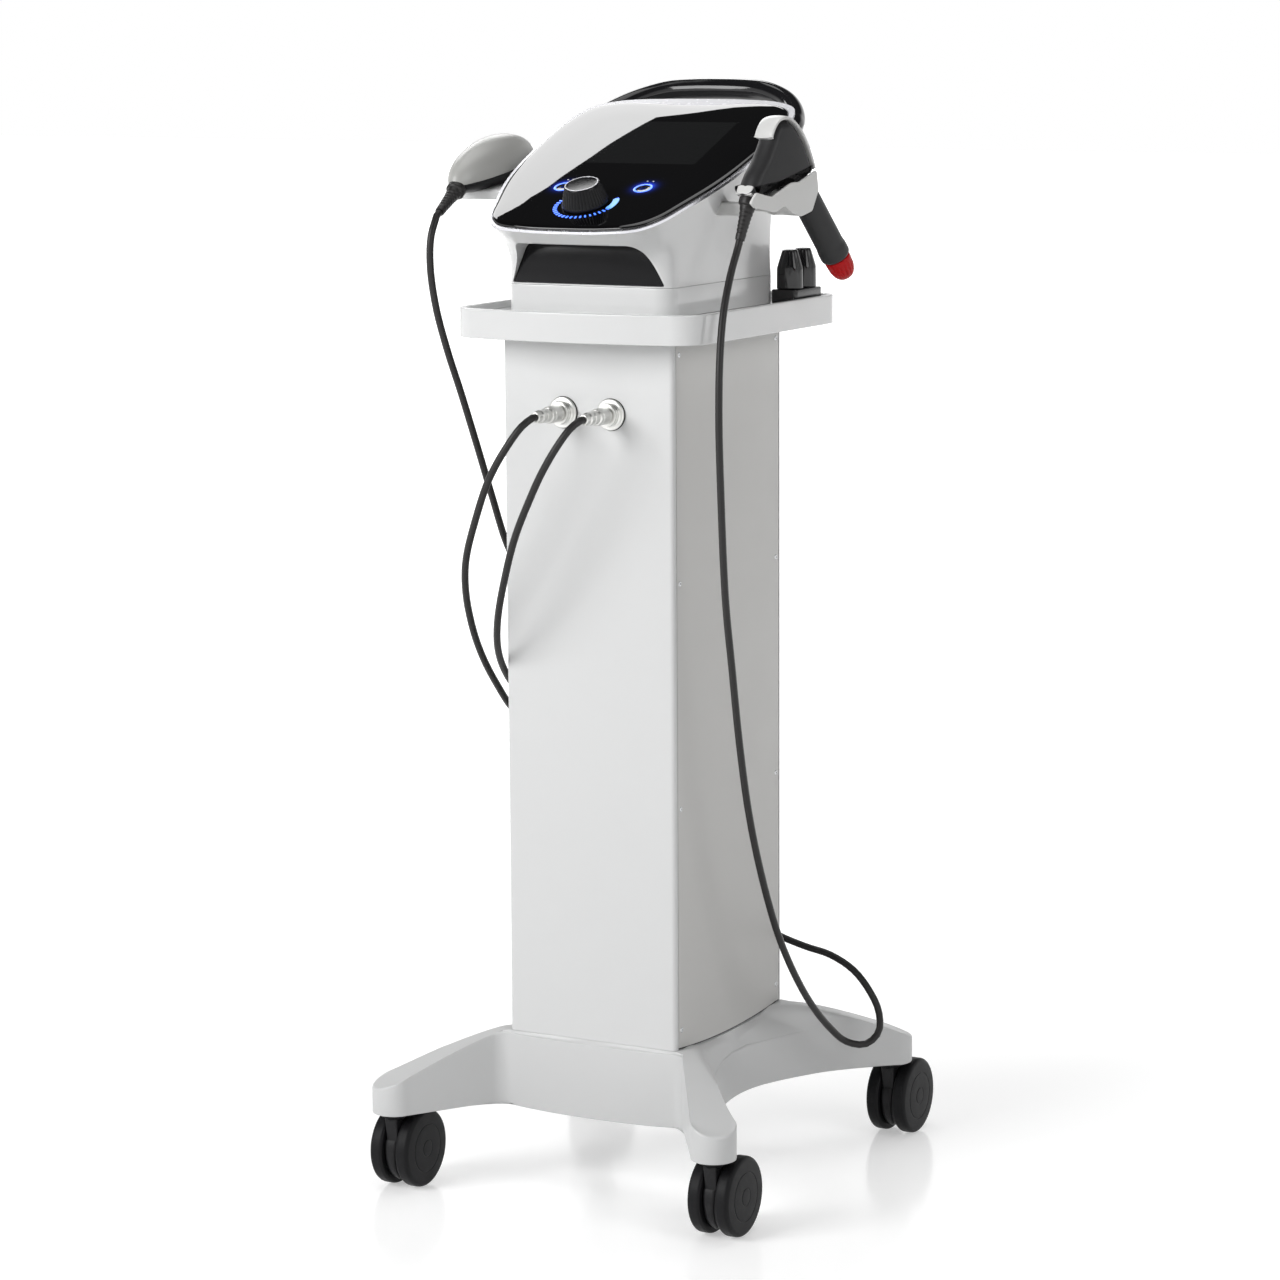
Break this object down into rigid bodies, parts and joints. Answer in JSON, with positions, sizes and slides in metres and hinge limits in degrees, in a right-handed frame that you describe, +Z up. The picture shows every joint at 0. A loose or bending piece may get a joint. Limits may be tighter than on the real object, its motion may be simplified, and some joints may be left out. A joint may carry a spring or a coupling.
{
  "type": "pressure wave therapy unit",
  "caption": "Wheeled therapy unit with a slim cabinet, accessory tray, tilted glass control console with dial, and corded handpieces resting in side holders.",
  "frame": {"origin": "on the floor, under the middle of the unit's outline without its cables", "axes": "+Z up, +X to the right as the user faces the console, -Y towards the user"},
  "size_m": [0.5065, 0.6099, 1.3705],
  "materials": {
    "white_paint": "satin",
    "white_casting": "satin painted",
    "white_moulding": "gloss",
    "panel_grey": "fine texture",
    "grey_moulding": "satin",
    "dark_moulding": "satin",
    "black_moulding": "satin",
    "black_gloss": "gloss",
    "fascia_glass": "mirror gloss",
    "silver_trim": "metallic",
    "socket_metal": "satin",
    "axle_steel": "ground",
    "sheet_steel": "zinc plated",
    "machine_alloy": "cast",
    "cable_jacket": "matte",
    "red_moulding": "satin",
    "caster_black": "satin",
    "circuit_board": "matte"
  },
  "bodies": {
    "unit": {"base_casting": "white_casting", "cabinet_front": "white_paint", "cabinet_rear": "white_paint", "cabinet_side_left": "panel_grey", "cabinet_side_right": "panel_grey", "shelf_lower": "sheet_steel", "shelf_upper": "sheet_steel", "compressor": "machine_alloy", "air_tank": "machine_alloy", "power_supply": "machine_alloy", "mains_inlet": "black_moulding", "tray": "white_moulding", "console_plinth": "white_moulding", "console_housing": "white_moulding", "recess_plate": "black_moulding", "fascia_trim": "silver_trim", "fascia_glass": "fascia_glass", "display": "black_moulding", "control_board": "circuit_board", "dial_encoder": "axle_steel", "carry_handle": "black_gloss", "holder_left": "white_moulding", "holder_right": "grey_moulding", "socket_left": "socket_metal", "socket_right": "socket_metal", "plug_left": "socket_metal", "plug_right": "socket_metal", "cord_left": "cable_jacket", "cord_right": "cable_jacket", "spare_rack": "black_moulding"},
    "caster_front_left": {"caster_front_left_housing": "caster_black", "caster_front_left_axle": "axle_steel"},
    "caster_front_left_wheel_inner": {"caster_front_left_wheel_inner": "caster_black"},
    "caster_front_left_wheel_outer": {"caster_front_left_wheel_outer": "caster_black"},
    "caster_front_right": {"caster_front_right_housing": "caster_black", "caster_front_right_axle": "axle_steel"},
    "caster_front_right_wheel_inner": {"caster_front_right_wheel_inner": "caster_black"},
    "caster_front_right_wheel_outer": {"caster_front_right_wheel_outer": "caster_black"},
    "caster_rear_left": {"caster_rear_left_housing": "caster_black", "caster_rear_left_axle": "axle_steel"},
    "caster_rear_left_wheel_inner": {"caster_rear_left_wheel_inner": "caster_black"},
    "caster_rear_left_wheel_outer": {"caster_rear_left_wheel_outer": "caster_black"},
    "caster_rear_right": {"caster_rear_right_housing": "caster_black", "caster_rear_right_axle": "axle_steel"},
    "caster_rear_right_wheel_inner": {"caster_rear_right_wheel_inner": "caster_black"},
    "caster_rear_right_wheel_outer": {"caster_rear_right_wheel_outer": "caster_black"},
    "dial": {"dial": "black_moulding"},
    "button_left": {"button_left": "black_gloss"},
    "button_right": {"button_right": "black_gloss"},
    "pistol_handpiece": {"pistol_body": "dark_moulding", "pistol_spine": "grey_moulding", "pistol_barrel": "dark_moulding", "pistol_head": "red_moulding", "pistol_relief": "cable_jacket"},
    "round_handpiece": {"round_handpiece_crown": "grey_moulding", "round_handpiece_belly": "black_moulding", "round_handpiece_relief": "cable_jacket"},
    "spare_head_front": {"spare_head_front": "black_gloss"},
    "spare_head_rear": {"spare_head_rear": "black_gloss"}
  },
  "joints": [
    {"name": "caster_front_left_swivel", "type": "hinge", "parent": "unit", "child": "caster_front_left", "pos_m": [-0.224, -0.277, 0.1008], "axis": [0, 0, 1], "continuous": true},
    {"name": "caster_front_left_inner_roll", "type": "hinge", "parent": "caster_front_left", "child": "caster_front_left_wheel_inner", "pos_m": [-0.224, -0.247, 0.04924], "axis": [1, 0, 0], "continuous": true},
    {"name": "caster_front_left_outer_roll", "type": "hinge", "parent": "caster_front_left", "child": "caster_front_left_wheel_outer", "pos_m": [-0.224, -0.247, 0.04924], "axis": [1, 0, 0], "continuous": true},
    {"name": "caster_front_right_swivel", "type": "hinge", "parent": "unit", "child": "caster_front_right", "pos_m": [0.224, -0.277, 0.1008], "axis": [0, 0, 1], "continuous": true},
    {"name": "caster_front_right_inner_roll", "type": "hinge", "parent": "caster_front_right", "child": "caster_front_right_wheel_inner", "pos_m": [0.224, -0.247, 0.04924], "axis": [1, 0, 0], "continuous": true},
    {"name": "caster_front_right_outer_roll", "type": "hinge", "parent": "caster_front_right", "child": "caster_front_right_wheel_outer", "pos_m": [0.224, -0.247, 0.04924], "axis": [1, 0, 0], "continuous": true},
    {"name": "caster_rear_left_swivel", "type": "hinge", "parent": "unit", "child": "caster_rear_left", "pos_m": [-0.224, 0.225, 0.1008], "axis": [0, 0, 1], "continuous": true},
    {"name": "caster_rear_left_inner_roll", "type": "hinge", "parent": "caster_rear_left", "child": "caster_rear_left_wheel_inner", "pos_m": [-0.224, 0.255, 0.04924], "axis": [1, 0, 0], "continuous": true},
    {"name": "caster_rear_left_outer_roll", "type": "hinge", "parent": "caster_rear_left", "child": "caster_rear_left_wheel_outer", "pos_m": [-0.224, 0.255, 0.04924], "axis": [1, 0, 0], "continuous": true},
    {"name": "caster_rear_right_swivel", "type": "hinge", "parent": "unit", "child": "caster_rear_right", "pos_m": [0.224, 0.225, 0.1008], "axis": [0, 0, 1], "continuous": true},
    {"name": "caster_rear_right_inner_roll", "type": "hinge", "parent": "caster_rear_right", "child": "caster_rear_right_wheel_inner", "pos_m": [0.224, 0.255, 0.04924], "axis": [1, 0, 0], "continuous": true},
    {"name": "caster_rear_right_outer_roll", "type": "hinge", "parent": "caster_rear_right", "child": "caster_rear_right_wheel_outer", "pos_m": [0.224, 0.255, 0.04924], "axis": [1, 0, 0], "continuous": true},
    {"name": "dial_turn", "type": "hinge", "parent": "unit", "child": "dial", "pos_m": [0, -0.168, 1.22126], "axis": [0, -0.3746, 0.9272], "continuous": true},
    {"name": "button_left_press", "type": "slide", "parent": "unit", "child": "button_left", "axis": [0, 0.3746, -0.9272], "range_m": [0, 0.001], "stiffness_N_per_m": 800, "springref_m": -0.0005},
    {"name": "button_right_press", "type": "slide", "parent": "unit", "child": "button_right", "axis": [0, 0.3746, -0.9272], "range_m": [0, 0.001], "stiffness_N_per_m": 800, "springref_m": -0.0005},
    {"name": "pistol_handpiece_lift", "type": "slide", "parent": "unit", "child": "pistol_handpiece", "axis": [-0.1753, -0.5738, 0.8], "range_m": [0, 0.15]},
    {"name": "round_handpiece_lift", "type": "slide", "parent": "unit", "child": "round_handpiece", "axis": [0, 0, 1], "range_m": [0, 0.12]},
    {"name": "spare_head_front_lift", "type": "slide", "parent": "unit", "child": "spare_head_front", "axis": [0, 0, 1], "range_m": [0, 0.01]},
    {"name": "spare_head_rear_lift", "type": "slide", "parent": "unit", "child": "spare_head_rear", "axis": [0, 0, 1], "range_m": [0, 0.01]}
  ]
}
